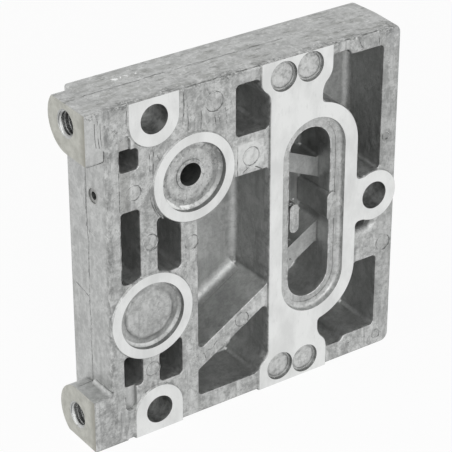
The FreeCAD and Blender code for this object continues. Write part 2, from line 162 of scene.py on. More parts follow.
# Die-cast aluminium as it leaves the mould: a dull satin skin, cloudy and veined from the way
# the metal ran, with light blotches of oxide, drawn streaks, dark grit and small pits, and pale
# specks that are painted glints. It is calmer and a little darker past calmDepth, in the recesses
# and behind, and that darkening is painted shade. Each layer is its size in mm, its stretch,
# where its cloud starts and is full, its share and colour, and topLayers lie on the top face
# only. The marks with a place end with their share and colour too: patches (x, z, reach) and
# bands (left, right, lower, upper) of the front where the skin is paler or darker, of which the
# patch at (96.5, 41.5) is a painted highlight, the band down the right rim painted shade and the
# band on the lower shelf painted light, rings (x, z, radius, half width) on the floors of the
# seats, the dark ones painted shade, and deepShadeTints (x, y, z, reach) of painted shade that
# darken the hollows and the wall round the vent. The crevice colour is painted shade where ambient
# occlusion finds surfaces close by.
castSkin = {
    "light": "C4C5C4", "dark": "999A99", "cloudMm": 8.0, "grainMm": 1.6, "fineMm": 0.6,
    "fineShare": 0.4, "toneSpan": (1.02, 1.38),
    "layers": (
        (3.2, (1, 1, 1.4), 0.54, 0.60, 0.40, "D6D7D6"),
        (2.4, (0.8, 1, 6), 0.55, 0.64, 0.34, "D2D3D2"),
        (2.0, (0.8, 1, 7), 0.57, 0.66, 0.36, "828382"),
        (1.3, (1, 1, 1), 0.58, 0.64, 0.38, "828382"),
        (0.7, (1, 1, 1), 0.65, 0.70, 0.55, "626362"),
        # pale specks on the same cloud as the pits: painted glints
        (0.7, (1, 1, 1), 0.65, 0.70, 0.55, "EAEBEA"),
    ),
    "veinMm": 5.0, "veinHalf": 0.012, "veinSpan": (0.46, 0.56), "vein": "727372",
    "veinShare": 0.50,
    "calmDepth": (1.0, 3.0), "calmShare": 0.45, "calmShade": "B3B4B3",
    "patches": ((48.4, 79.5, 7.5, 0.55, "DEDFDE"), (7.0, 95.3, 2.8, 0.5, "DCDDDC"),
                (51.0, 31.0, 5.0, 0.35, "D8D9D8"), (46.5, 104.2, 5.0, 0.35, "D8D9D8"),
                # the pale patch at (96.5, 41.5) is a painted highlight on the rounded edge there
                (96.5, 41.5, 3.5, 0.4, "DEDFDE"), (28.0, 61.0, 4.0, 0.35, "D8D9D8"),
                (99.5, 103.5, 5.5, 0.5, "8E8F90"), (86.5, 104.0, 6.5, 0.4, "8C8D8C"),
                (37.0, 94.0, 4.0, 0.35, "949594"), (13.0, 46.0, 3.0, 0.3, "949594"),
                (41.0, 24.5, 8.0, 0.35, "8E8F8E"),
                *((x, z, 5.0, 0.5 if z > plate["midZ"] else 0.45, "D8D9D8")
                  for x, z in plate["sunkPads"])),
    "patchCloud": (1.5, 0.38, 0.52),
    "topSpan": (106.0, 106.4),
    "topLayers": ((3.0, (1.6, 0.8, 1), 0.52, 0.60, 0.35, "8C8D89"),
                  (1.6, (2.6, 0.7, 1), 0.58, 0.64, 0.45, "6E6F6B"),
                  (1.4, (1, 1, 1), 0.60, 0.66, 0.40, "D8D9D8")),
    # the row of pale specks on the top is painted glints
    "glintPlace": (11.0, 22.0, 15.2, 1.1), "glintCloud": (0.8, 0.52, 0.58, 0.85),
    "glintFade": 1.0, "glintTint": "F2F3F2",
    "bands": ((0.5, 4.2, 10.0, 91.6, 0.15, "BFC0BF"), (-6.5, 0.1, 91.8, 107.0, 0.55, "C6C7C6"),
              # painted shade: the darker band (94.3 to 101.5) down the right rim; painted light:
              # the paler band (4.2 to 8.5) on the lower shelf, lifting its shade
              (43.3, 52.4, 76.6, 84.2, 0.45, "DCDDDC"), (94.3, 101.5, 8.0, 100.0, 0.25, "8C8D8C"),
              (4.2, 8.5, 9.6, 17.8, 0.50, "C6C7C6"), (4.4, 7.8, 45.0, 97.0, 0.30, "858581")),
    "bandFade": {"left": 0.2, "right": 0.3, "lower": 0.6, "upper": 0.3},
    "bandDepth": (2.6, 2.0),
    "rings": ((*plate["lowerSeat"], 7.9, 0.9, 0.45, "7E7F7E"),
              (*plate["lowerSeat"], 5.2, 0.5, 0.20, "8C8D8C"),
              (*plate["upperSeat"], 8.2, 0.8, 0.40, "7E7F7E"),
              (*plate["upperSeat"], 6.3, 1.6, 0.25, "DADBDA")),
    "ringDepth": (4.0, 3.6), "ringCloud": (3.0, 0.34, 0.50),
    # painted shade in the hollows of the pockets and the slot, and round the vent
    "deepShadeTints": ((0.2, plate["ventY"], plate["ventZ"], 3.0, 0.45, "62615C"),
                  (71.0, 13.0, 57.0, 9.0, 0.35, "6A6C6B"), (80.0, 15.0, 12.0, 11.0, 0.25, "6A6C6B"),
                  (47.0, 12.0, 95.0, 9.0, 0.30, "6E706F"), (42.0, 10.0, 36.0, 10.0, 0.30, "6E706F"),
                  (70.0, 14.0, 72.0, 14.0, 0.45, "6E706F"),
                  (70.0, 14.0, 40.0, 9.0, 0.20, "6E706F")),
    "deepEnd": (20.0, 18.5),
    "flash": "606160", "flashCloud": (0.8, 0.44, 0.56, 0.6), "flashDepthMm": 0.15,
    "flashLight": "D2D3D2", "flashLightCloud": (0.9, 0.56, 0.64, 0.6), "rimShare": 0.45,
    "lineDark": "5C5D5C", "lineShare": 0.75, "lineDepthMm": 0.10,
    "creviceMm": 0.9, "creviceSpan": (0.86, 0.30), "creviceShare": 0.6, "creviceShade": "4B4C4B",
    "roughSpan": (0.3, 0.7), "roughLow": 0.44, "roughHigh": 0.64,
    "rippleMm": 4.5, "rippleDepthMm": 0.08, "peelMm": 0.9, "peelDepthMm": 0.035,
}

# Where the two halves of the mould met: a thin broken line over the top and down the left wall,
# the flash torn off along the front of the top, and the dark rim along the front of the left
# wall. Lines are their middle and half width, and the other pairs where a mark starts and is
# full, all in mm.
mouldSeam = {
    "waverMm": 7.0, "waver": 1.6, "gapCloud": (3.0, 0.36, 0.50),
    "top": (106.2, 106.4), "topLine": (12.0, 0.24), "topEnd": (78.0, 60.0),
    "wall": (0.5, 0.4), "wallLine": (11.7, 0.20), "wallEnd": (91.0, 90.0),
    "edgeZ": 106.7, "tearWaver": 12.0, "tear": (-3.6, -6.1),
    "rimLine": (0.8, 1.9), "rimDepth": (2.6, 0.9), "rimCloud": (1.2, 0.44, 0.60),
    "rimStretch": (1, 1, 2.5),
}


def partingLine(tree, place, axes):
    look = mouldSeam
    waver = cloud(tree, place, look["waverMm"])
    across = addNode(tree, "ShaderNodeMath", {"operation": "MULTIPLY_ADD"}, i0=waver,
                     i1=look["waver"], i2=axes.outputs["Y"]).outputs[0]
    broken = blotches(tree, place, *look["gapCloud"])
    overTop = overlap(tree, alongLine(tree, across, *look["topLine"]), broken,
                      ramp(tree, axes.outputs["Z"], *look["top"]),
                      ramp(tree, axes.outputs["X"], *look["topEnd"]))
    downWall = overlap(tree, alongLine(tree, across, *look["wallLine"]), broken,
                       ramp(tree, axes.outputs["X"], *look["wall"]),
                       ramp(tree, axes.outputs["Z"], *look["wallEnd"]))
    return addNode(tree, "ShaderNodeMath", {"operation": "MAXIMUM"}, i0=overTop,
                   i1=downWall).outputs[0]


# The torn flash lies along the top's front edge, as far as its distance less the cloud allows.
def tornEdge(tree, place, axes):
    look = mouldSeam
    across = addNode(tree, "ShaderNodeCombineXYZ", Y=axes.outputs["Y"], Z=axes.outputs["Z"])
    away = addNode(tree, "ShaderNodeVectorMath", {"operation": "DISTANCE"},
                   i0=across.outputs[0], i1=(0, plate["castFront"], look["edgeZ"]))
    tear = addNode(tree, "ShaderNodeMath", {"operation": "MULTIPLY_ADD"},
                   i0=cloud(tree, place, look["waverMm"], detail=4.0), i1=-look["tearWaver"],
                   i2=away.outputs["Value"])
    return ramp(tree, tear.outputs[0], *look["tear"])


def darkRim(tree, place, axes):
    look = mouldSeam
    return overlap(tree, alongLine(tree, axes.outputs["X"], *look["rimLine"]),
                   ramp(tree, axes.outputs["Y"], *look["rimDepth"]),
                   blotches(tree, place, *look["rimCloud"], stretch=look["rimStretch"]))


# The cloudy grey of the skin with its layers and veins, under all the other marks.
def skinTone(tree, look, place, patch, grain):
    fine = cloud(tree, place, look["fineMm"], detail=2.0)
    both = addNode(tree, "ShaderNodeMath", {"operation": "ADD"}, i0=patch, i1=grain)
    three = addNode(tree, "ShaderNodeMath", {"operation": "MULTIPLY_ADD"}, i0=fine,
                    i1=look["fineShare"], i2=both.outputs[0])
    tone = ramp(tree, three.outputs[0], *look["toneSpan"])
    colour = tinted(tree, linear(look["dark"]), tone, look["light"])
    for size, stretch, start, end, share, tint in look["layers"]:
        shade = blotches(tree, place, size, start, end, share, stretch)
        colour = tinted(tree, colour, shade, tint)
    flow = cloud(tree, place, look["veinMm"], detail=4.0, distortion=1.2)
    vein = overlap(tree, alongLine(tree, flow, 0.5, look["veinHalf"]),
                   ramp(tree, patch, *look["veinSpan"], look["veinShare"]))
    return tinted(tree, colour, vein, look["vein"])


# The streaks and grit of the top face, and a short row of painted glints, pale specks behind its
# parting line.
def topMarks(tree, look, place, axes, colour):
    onTop = ramp(tree, axes.outputs["Z"], *look["topSpan"])
    for size, stretch, start, end, share, tint in look["topLayers"]:
        shade = blotches(tree, place, size, start, end, share, stretch)
        colour = tinted(tree, colour, overlap(tree, onTop, shade), tint)
    left, right, middle, half = look["glintPlace"]
    glints = overlap(tree, onTop, alongLine(tree, axes.outputs["Y"], middle, half),
                     ramp(tree, axes.outputs["X"], left, left + look["glintFade"]),
                     ramp(tree, axes.outputs["X"], right, right - look["glintFade"]),
                     blotches(tree, place, *look["glintCloud"]))
    return tinted(tree, colour, glints, look["glintTint"])


def frontPatches(tree, look, place, colour):
    for x, z, reach, share, tint in look["patches"]:
        patch = overlap(tree, nearPoint(tree, place, (x, plate["castFront"], z), reach, share),
                        blotches(tree, place, *look["patchCloud"]))
        colour = tinted(tree, colour, patch, tint)
    return colour


def frontBands(tree, look, axes, colour):
    fade = look["bandFade"]
    for left, right, lower, upper, share, tint in look["bands"]:
        band = overlap(tree, ramp(tree, axes.outputs["X"], left, left + fade["left"]),
                       ramp(tree, axes.outputs["X"], right, right - fade["right"]),
                       ramp(tree, axes.outputs["Z"], lower, lower + fade["lower"]),
                       ramp(tree, axes.outputs["Z"], upper, upper - fade["upper"]),
                       ramp(tree, axes.outputs["Y"], *look["bandDepth"], share))
        colour = tinted(tree, colour, band, tint)
    return colour


# The dark rings are painted shade of the grooves and steps on the seats' floors; the pale one on
# the upper seat is a paler band of its floor.
def seatRings(tree, look, place, axes, colour):
    flat = addNode(tree, "ShaderNodeCombineXYZ", X=axes.outputs["X"], Z=axes.outputs["Z"])
    for x, z, radius, half, share, tint in look["rings"]:
        away = addNode(tree, "ShaderNodeVectorMath", {"operation": "DISTANCE"},
                       i0=flat.outputs[0], i1=(x, 0, z)).outputs["Value"]
        ring = overlap(tree, alongLine(tree, away, radius, half), share,
                       ramp(tree, axes.outputs["Y"], *look["ringDepth"]),
                       blotches(tree, place, *look["ringCloud"]))
        colour = tinted(tree, colour, ring, tint)
    return colour


# Painted shade that darkens the hollows and the wall round the vent.
def paintHollowShade(tree, look, place, axes, colour):
    for x, y, z, reach, share, tint in look["deepShadeTints"]:
        deep = overlap(tree, nearPoint(tree, place, (x, y, z), reach, share),
                       ramp(tree, axes.outputs["Y"], *look["deepEnd"]),
                       ramp(tree, axes.outputs["Y"], *look["calmDepth"]))
        colour = tinted(tree, colour, deep, tint)
    return colour


def makeCastSkin(name="dieCastAluminium", changes=None):
    look = {**castSkin, **(changes or {})}
    material, tree = newMaterial(name)
    place = plateSpace(tree)
    axes = addNode(tree, "ShaderNodeSeparateXYZ", Vector=place)
    patch = cloud(tree, place, look["cloudMm"], detail=4.0, distortion=0.8)
    grain = cloud(tree, place, look["grainMm"], detail=4.0, roughness=0.7)
    colour = skinTone(tree, look, place, patch, grain)
    # Painted shade: the skin is darker past calmDepth, in the recesses and behind.
    calmShade = ramp(tree, axes.outputs["Y"], *look["calmDepth"], look["calmShare"])
    colour = tinted(tree, colour, calmShade, look["calmShade"])
    colour = frontPatches(tree, look, place, colour)
    colour = topMarks(tree, look, place, axes, colour)
    colour = frontBands(tree, look, axes, colour)
    colour = seatRings(tree, look, place, axes, colour)
    colour = paintHollowShade(tree, look, place, axes, colour)
    torn, line = tornEdge(tree, place, axes), partingLine(tree, place, axes)
    darkTear = overlap(tree, torn, blotches(tree, place, *look["flashCloud"]))
    lightTear = overlap(tree, torn, blotches(tree, place, *look["flashLightCloud"]))
    rim = overlap(tree, darkRim(tree, place, axes), look["rimShare"])
    # Painted shade: the skin darkens where ambient occlusion finds surfaces close by.
    occlusion = addNode(tree, "ShaderNodeAmbientOcclusion", {"samples": 8},
                   Distance=look["creviceMm"] * mm).outputs["AO"]
    for share, tint in ((darkTear, look["flash"]), (lightTear, look["flashLight"]),
                        (rim, look["flash"]),
                        (overlap(tree, line, look["lineShare"]), look["lineDark"]),
                        (ramp(tree, occlusion, *look["creviceSpan"], look["creviceShare"]),
                         look["creviceShade"])):
        colour = tinted(tree, colour, share, tint)
    roughFrom, roughTo = look["roughSpan"]
    rough = addNode(tree, "ShaderNodeMapRange", Value=grain, From_Min=roughFrom,
                    From_Max=roughTo, To_Min=look["roughLow"], To_Max=look["roughHigh"])
    wide = addNode(tree, "ShaderNodeBump", Height=cloud(tree, place, look["rippleMm"]),
                   Distance=look["rippleDepthMm"] * mm)
    peel = addNode(tree, "ShaderNodeBump", Height=cloud(tree, place, look["peelMm"]),
                   Distance=look["peelDepthMm"] * mm, Normal=wide.outputs[0])
    ragged = addNode(tree, "ShaderNodeBump", {"invert": True}, Height=darkTear,
                     Distance=look["flashDepthMm"] * mm, Normal=peel.outputs[0])
    sunk = addNode(tree, "ShaderNodeBump", {"invert": True}, Height=line,
                   Distance=look["lineDepthMm"] * mm, Normal=ragged.outputs[0])
    shader = addNode(tree, "ShaderNodeBsdfPrincipled", Base_Color=colour, Metallic=1.0,
                     Roughness=rough.outputs[0], Normal=sunk.outputs[0])
    addNode(tree, "ShaderNodeOutputMaterial", Surface=shader.outputs[0])
    return material


# The same skin in other places: the steep walls of the recesses, darker with painted shade, the
# pitted floor of the upper seat, the seats' smooth fillets with a painted highlight on one side and
# painted shade on the other, the wall and ledge of the slot and the shelves, paler with painted
# light that lifts their shade, and the raw granular tops of the posts.
# Painted shade: the recess walls' skin is darker than the rest.
shadedRecessWall = {"light": "9A9B9A", "dark": "7A7B7A", "layers": castSkin["layers"][3:],
              "patches": (), "calmShade": "929392", "creviceMm": 0.5, "creviceShare": 0.4}
pittedFloor = {"layers": castSkin["layers"][:3] + (
    (1.1, (1, 1, 1), 0.56, 0.62, 0.65, "6C6D6C"), (0.8, (1, 1, 1), 0.60, 0.66, 0.60, "E2E3E2")),
               "calmShare": 0.15}
# Painted light and shade on the seats' fillets: pale patches on their lower side are painted
# highlights, dark ones higher up painted shade.
seatFilletLightAndShade = {"light": "CACBCA", "dark": "B0B1B0", "layers": castSkin["layers"][2:4],
              "bands": (), "deepShadeTints": (), "rings": (), "calmShare": 0.0, "creviceMm": 0.4,
              "roughLow": 0.62, "roughHigh": 0.80,
              "patches": ((24.0, 69.6, 8.5, 0.90, "EEEFEE"), (33.0, 70.4, 5.0, 0.45, "DCDDDC"),
                          (37.0, 83.0, 9.5, 0.80, "8A8B8A"), (19.0, 81.0, 6.0, 0.4, "9C9D9C"),
                          (11.0, 30.2, 8.0, 0.7, "E0E1E0"), (21.5, 33.5, 4.5, 0.5, "D6D7D6"),
                          (22.5, 44.0, 8.5, 0.7, "8A8B8A"))}
# Painted light: the slot's wall and ledge and the shelves are paler, with less painted shade,
# lifting the shade that lies there.
litSlotLedge = {"light": "CACBCA", "dark": "A4A5A4", "calmShare": 0.25, "creviceMm": 0.6,
             "creviceShare": 0.35, "deepShadeTints": ()}
granularTop = {"light": "CFD0CF", "dark": "989998", "grainMm": 0.9, "peelMm": 0.6,
               "peelDepthMm": 0.09}

# Fine-milled aluminium: the cutter leaves the lands nearly white, with faint long lines, drawn
# wider than real ones so that they show, and a little grey grit in them.
milledLand = {"light": "E4E5E4", "dark": "D6D7D6", "cloudMm": 8.0, "cloudStretch": (1, 1, 2.0),
              "cloudSpan": (0.38, 0.58), "gritCloud": (0.9, 0.58, 0.70, 0.35),
              "gritStretch": (1, 1, 3.0), "grit": "C9CAC9", "lineMm": 0.5,
              "lineStretch": (8.0, 1, 1), "depthMm": 0.005, "roughness": 0.42}


def makeMilledLand():
    look = milledLand
    material, tree = newMaterial("milledAluminium")
    place = plateSpace(tree)
    patch = cloud(tree, place, look["cloudMm"], look["cloudStretch"], detail=5.0)
    colour = tinted(tree, linear(look["dark"]), ramp(tree, patch, *look["cloudSpan"]),
                    look["light"])
    grit = blotches(tree, place, *look["gritCloud"], stretch=look["gritStretch"])
    colour = tinted(tree, colour, grit, look["grit"])
    lines = cloud(tree, place, look["lineMm"], look["lineStretch"])
    bump = addNode(tree, "ShaderNodeBump", Height=lines, Distance=look["depthMm"] * mm)
    shader = addNode(tree, "ShaderNodeBsdfPrincipled", Base_Color=colour, Metallic=1.0,
                     Roughness=look["roughness"], Normal=bump.outputs[0])
    addNode(tree, "ShaderNodeOutputMaterial", Surface=shader.outputs[0])
    return material


# Turned or drilled aluminium: duller than the lands and faintly clouded by the tool and its
# coolant. The ears' turned faces are darker towards their front edge, and the blind bores are
# dark because little light reaches into them.
cutMetal = {"cloudDetail": 5.0, "cloudRoughness": 0.65, "cloudSpan": (0.36, 0.62),
            "gritMm": 0.5, "gritDepthMm": 0.01}
turnedFace = {**cutMetal, "light": "BBBBB4", "dark": "A6A69F", "cloudMm": 3.0, "roughness": 0.46,
              "edge": "8F8D84", "edgeSpan": (3.4, 1.0), "edgeShare": 0.7}
drilledBore = {**cutMetal, "light": "C6C7C6", "dark": "8A8B8A", "cloudMm": 2.6, "roughness": 0.48}
blindBore = {**cutMetal, "light": "8E908E", "dark": "6E706E", "cloudMm": 2.0, "roughness": 0.55}

# Flash and witness lines are raw metal squeezed between the mould's parts, grey and uneven.
# Cracks hold dirt and look dark, and the same dark beads lie under the upper ear's front edge as
# a painted shadow. The lip round the slot's opening is bright, partly as a painted highlight of
# its rounded edge.
rawMetal = {"cloudDetail": 4.0, "cloudRoughness": 0.6, "cloudSpan": (0.42, 0.60),
            "gritMm": 0.4, "gritDepthMm": 0.03}
seamMetal = {**rawMetal, "light": "C0C1C0", "dark": "747574", "cloudMm": 2.4, "roughness": 0.6}
crackAndShadowMetal = {**rawMetal, "light": "8C8D8C", "dark": "4A4B4A", "cloudMm": 2.0, "roughness": 0.65}
# the lip is paler partly as a painted highlight of its rounded edge
lipHighlightMetal = {**rawMetal, "light": "D2D3D2", "dark": "9C9D9C", "cloudMm": 1.6, "roughness": 0.5}


def makeBareMetal(name, look):
    material, tree = newMaterial(name)
    place = plateSpace(tree)
    patch = cloud(tree, place, look["cloudMm"], detail=look["cloudDetail"],
                  roughness=look["cloudRoughness"])
    colour = tinted(tree, linear(look["dark"]), ramp(tree, patch, *look["cloudSpan"]),
                    look["light"])
    if "edge" in look:
        depth = addNode(tree, "ShaderNodeSeparateXYZ", Vector=place).outputs["Y"]
        # the face is darker towards its front edge
        towardFront = ramp(tree, depth, *look["edgeSpan"], look["edgeShare"])
        colour = tinted(tree, colour, towardFront, look["edge"])
    bump = addNode(tree, "ShaderNodeBump", Height=cloud(tree, place, look["gritMm"]),
                   Distance=look["gritDepthMm"] * mm)
    shader = addNode(tree, "ShaderNodeBsdfPrincipled", Base_Color=colour, Metallic=1.0,
                     Roughness=look["roughness"], Normal=bump.outputs[0])
    addNode(tree, "ShaderNodeOutputMaterial", Surface=shader.outputs[0])
    return material


finishes = [makeCastSkin(), makeMilledLand(), makeBareMetal("turnedAluminium", turnedFace),
            makeBareMetal("drilledAluminium", drilledBore),
            makeBareMetal("blindBoreAluminium", blindBore),
            makeCastSkin("shadedRecessWallCasting", shadedRecessWall),
            makeCastSkin("pittedCasting", pittedFloor),
            makeCastSkin("granularCasting", granularTop),
            makeCastSkin("litLedgeCasting", litSlotLedge), makeCastSkin("filletLightShadeCasting", seatFilletLightAndShade)]
(castFinish, landFinish, turnedFinish, boreFinish, deepFinish, shadedWallFinish, pitFinish, topFinish,
 litLedgeFinish, filletLightShadeFinish) = range(len(finishes))
seamMaterial = makeBareMetal("castSeam", seamMetal)
crackAndShadowMaterial = makeBareMetal("castCrackAndShadow", crackAndShadowMetal)
lipHighlightMaterial = makeBareMetal("castLipHighlight", lipHighlightMetal)
print("materials made")


def addPiece(name, mesh, *materials):
    piece = bpy.data.objects.new(name, mesh)
    bpy.context.scene.collection.objects.link(piece)
    for material in materials:
        piece.data.materials.append(material)
    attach(piece, "root")
    return piece


# The casting itself: the solid's own mesh, merged, with its threads cut, and each face given
# the finish that made it.
plateDressing = {"mergeMm": 0.002, "sharpAngle": 50.0, "weight": 100}

# An M8 thread: half the width of its groove at the core and at the root, and its start outside
# the ear's face, in mm. The cutter reaches inside the core so that the groove opens cleanly.
thread = {"pitch": 1.25, "rootRadius": 4.0, "base": 0.48, "tip": 0.08, "start": -6.6,
          "insideCore": 0.1, "turns": 10, "stepsPerTurn": 32}

# Which faces belong to a place: how squarely they look its way, the slack round it, how wide
# its bevel is and how deep it lies, in mm.
faceRules = {"facingFront": 0.9, "facingEar": 0.99, "facingSide": 0.3, "slack": 0.06,
             "earBore": (-5.3, 9.0), "ventFrom": 0.3, "seatBevel": 0.5, "seatFloorInset": 1.5,
             "padBevel": 0.4, "slotBevel": 0.8, "postOutset": 1.5, "postSlack": 0.2,
             "openingBevel": 0.5, "ledgeFrom": 1.5, "shallow": 3.0}


# How far a point (x, z) is from the middle line of the long slot.
def fromSlot(x, z):
    past = max(abs(z - plate["midZ"]) - plate["slotRise"], 0)
    return math.hypot(x - plate["slotX"], past)


def finishOf(face):
    x, y, z = (face.calc_center_median() - spot(0, 0, 0)) / mm
    rules = faceRules
    slack = rules["slack"]
    front = face.normal.y < -rules["facingFront"]
    if front and y < slack:
        return landFinish
    fromEar = min(math.hypot(y - plate["earY"], z - height) for height in plate["earHeights"])
    boreStart, boreEnd = rules["earBore"]
    if fromEar < plate["mouthRadius"] and boreStart < x < boreEnd:
        return boreFinish
    if face.normal.x < -rules["facingEar"] and x < slack - plate["earReach"]:
        return turnedFinish
    if abs(face.normal.y) < rules["facingSide"] and any(
            math.hypot(x - holeX, z - holeZ) < plate["tieRadius"] + slack
            for holeX, holeZ in plate["tieHoles"]):
        return boreFinish
    fromVent = math.hypot(y - plate["ventY"], z - plate["ventZ"])
    if fromVent < plate["ventRadius"] + slack and x > rules["ventFrom"]:
        return deepFinish
    upper = math.hypot(x - plate["upperSeat"][0], z - plate["upperSeat"][1])
    lower = math.hypot(x - plate["lowerSeat"][0], z - plate["lowerSeat"][1])
    if upper < plate["boreRadius"] + slack and y > plate["seatFloor"]:
        return deepFinish
    # The seats' walls and, below, the sunk pads' walls take the darker wall skin, which is painted
    # shade.
    for away in (upper, lower):
        if -rules["seatBevel"] < away - plate["seatRadius"] < slack and not front:
            return shadedWallFinish
    if upper < plate["seatRadius"] - rules["seatFloorInset"] and y < rules["shallow"]:
        return pitFinish
    for padX, padZ in plate["sunkPads"]:
        away = math.hypot(x - padX, z - padZ)
        if -rules["padBevel"] < away - plate["sunkRadius"] < slack and not front:
            return shadedWallFinish
    # The slot's wall and ledge and the shallow shelves take the paler ledge skin: painted light.
    away = fromSlot(x, z)
    if -rules["slotBevel"] < away - plate["slotRadius"] < slack and not front:
        return litLedgeFinish
    onPost = abs(y - plate["postTop"]) < rules["postSlack"]
    if front and onPost and away < plate["openingRadius"] + rules["postOutset"]:
        return topFinish
    for left, right, below, above in plate["shelves"]:
        if left < x < right and below < z < above and y < rules["shallow"]:
            return litLedgeFinish
    onLedge = plate["openingRadius"] - rules["openingBevel"] < away < plate["slotRadius"]
    if front and onLedge and rules["ledgeFrom"] < y < rules["shallow"]:
        return litLedgeFinish
    return castFinish


def threadCutter(height):
    shape = bmesh.new()
    inner = plate["coreRadius"] - thread["insideCore"]
    profile = ((-thread["base"], inner), (-thread["tip"], thread["rootRadius"]),
               (thread["tip"], thread["rootRadius"]), (thread["base"], inner))
    corners = [shape.verts.new(spot(thread["start"] + along, plate["earY"], height + radius))
               for along, radius in profile]
    shape.faces.new(corners)
    steps = thread["turns"] * thread["stepsPerTurn"]
    advance = thread["pitch"] * mm / thread["stepsPerTurn"]
    bmesh.ops.spin(shape, geom=shape.verts[:] + shape.edges[:] + shape.faces[:],
                   cent=spot(0, plate["earY"], height), axis=(1, 0, 0), dvec=(advance, 0, 0),
                   angle=math.tau * thread["turns"], steps=steps, use_merge=False)
    bmesh.ops.recalc_face_normals(shape, faces=shape.faces)
    mesh = bpy.data.meshes.new("threadCutter")
    shape.to_mesh(mesh)
    shape.free()
    cutter = bpy.data.objects.new("threadCutter", mesh)
    bpy.context.scene.collection.objects.link(cutter)
    return cutter


# The mesh of an object as its modifiers leave it; the object itself is then taken away.
def settled(piece):
    bpy.context.view_layer.update()
    ready = piece.evaluated_get(bpy.context.evaluated_depsgraph_get())
    mesh = bpy.data.meshes.new_from_object(ready)
    bpy.data.objects.remove(piece)
    return mesh


def makeCasting():
    mesh = casting.data.copy()
    mesh.materials.clear()
    shape = bmesh.new()
    shape.from_mesh(mesh)
    bmesh.ops.remove_doubles(shape, verts=shape.verts, dist=plateDressing["mergeMm"] * mm)
    shape.to_mesh(mesh)
    shape.free()
    blank = bpy.data.objects.new("blank", mesh)
    bpy.context.scene.collection.objects.link(blank)
    cutters = [threadCutter(height) for height in plate["earHeights"]]
    for cutter in cutters:
        cut = blank.modifiers.new("thread", "BOOLEAN")
        cut.operation = "DIFFERENCE"
        cut.solver = "EXACT"
        cut.object = cutter
    mesh = settled(blank)
    for cutter in cutters:
        bpy.data.objects.remove(cutter)
    shape = bmesh.new()
    shape.from_mesh(mesh)
    bmesh.ops.remove_doubles(shape, verts=shape.verts, dist=plateDressing["mergeMm"] * mm / 2)
    shape.normal_update()
    limit = math.radians(plateDressing["sharpAngle"])
    for edge in shape.edges:
        edge.smooth = len(edge.link_faces) == 2 and edge.calc_face_angle(0) < limit
    for face in shape.faces:
        face.smooth = True
        face.material_index = finishOf(face)
    shape.to_mesh(mesh)
    shape.free()
    piece = addPiece("plateCasting", mesh, *finishes)
    soft = piece.modifiers.new("broken edges", "WEIGHTED_NORMAL")
    soft.weight = plateDressing["weight"]
    soft.keep_sharp = True
    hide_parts("end_plate")


makeCasting()
print("casting dressed")

# A bead gets thinner and thicker along the way, between two shares of its radius.
beadLook = {"thin": 0.6, "thick": 1.15, "bevelSteps": 1, "curveSteps": 4, "order": 3,
            "mergeMm": 0.001}


# Thin beads of metal along strokes: each stroke is its points, its radius in mm, and how far
# its points are shaken, and a closed one comes back to its start.
def addBeads(name, strokes, material, closed=False):
    curve = bpy.data.curves.new(name, "CURVE")
    curve.dimensions = "3D"
    curve.bevel_depth = mm
    curve.bevel_resolution = beadLook["bevelSteps"]
    curve.resolution_u = beadLook["curveSteps"]
    curve.use_fill_caps = True
    for points, radius, shake in strokes:
        line = curve.splines.new("NURBS")
        line.points.add(len(points) - 1)
        for knot, point in zip(line.points, points):
            jolt = Vector([random.uniform(-shake, shake) * mm for axis in range(3)])
            knot.co = (*(point + jolt), 1.0)
            knot.radius = radius * random.uniform(beadLook["thin"], beadLook["thick"])
        line.order_u = beadLook["order"]
        line.use_endpoint_u = not closed
        line.use_cyclic_u = closed
    holder = bpy.data.objects.new(name, curve)
    bpy.context.scene.collection.objects.link(holder)
    mesh = settled(holder)
    shape = bmesh.new()
    shape.from_mesh(mesh)
    bmesh.ops.remove_doubles(shape, verts=shape.verts, dist=beadLook["mergeMm"] * mm)
    bmesh.ops.recalc_face_normals(shape, faces=shape.faces)
    for face in shape.faces:
        face.smooth = True
    shape.to_mesh(mesh)
    shape.free()
    addPiece(name, mesh, material)


filletShape = {"rows": 6, "sharpAngle": 40.0}


# A fillet's own mesh: soft over its rows, and sharp where it meets its hidden sides.
def filletPiece(name, shape, finish):
    for edge in shape.edges:
        edge.smooth = edge.calc_face_angle(0) < math.radians(filletShape["sharpAngle"])
    for face in shape.faces:
        face.smooth = True
    mesh = bpy.data.meshes.new(name)
    shape.to_mesh(mesh)
    shape.free()
    addPiece(name, mesh, finish)


# The wide soft fillets at the floors of both seats, turned from a hollow profile: the radius
# at the wall, its depth there, and the radius and depth on the floor. A base under the profile
# closes it inside the casting.
seatFillets = {"upperSeat": (10.52, 1.55, 8.3, 2.42), "lowerSeat": (10.52, 1.35, 8.6, 2.22)}
filletTurn = {"segments": 96, "hollow": 0.35, "base": 0.1, "mergeMm": 0.001}


def makeSeatFillets():
    shape = bmesh.new()
    rows = filletShape["rows"]
    for seat, (outer, top, inner, floor) in seatFillets.items():
        x, z = plate[seat]
        base = floor + filletTurn["base"]
        corners = [shape.verts.new(spot(x + outer, base, z))]
        for row in range(rows + 1):
            share = row / rows
            hollow = filletTurn["hollow"] * math.sin(math.pi * share)
            corners.append(shape.verts.new(spot(x + outer + (inner - outer) * share + hollow,
                                                top + (floor - top) * share + hollow, z)))
        corners.append(shape.verts.new(spot(x + inner, base, z)))
        edges = [shape.edges.new((first, second))
                 for first, second in zip(corners, corners[1:] + corners[:1])]
        bmesh.ops.spin(shape, geom=corners + edges, cent=spot(x, 0, z), axis=(0, 1, 0),
                       angle=math.tau, steps=filletTurn["segments"], use_merge=True)
    bmesh.ops.remove_doubles(shape, verts=shape.verts, dist=filletTurn["mergeMm"] * mm)
    bmesh.ops.recalc_face_normals(shape, faces=shape.faces)
    filletPiece("seatFillets", shape, finishes[filletLightShadeFinish])


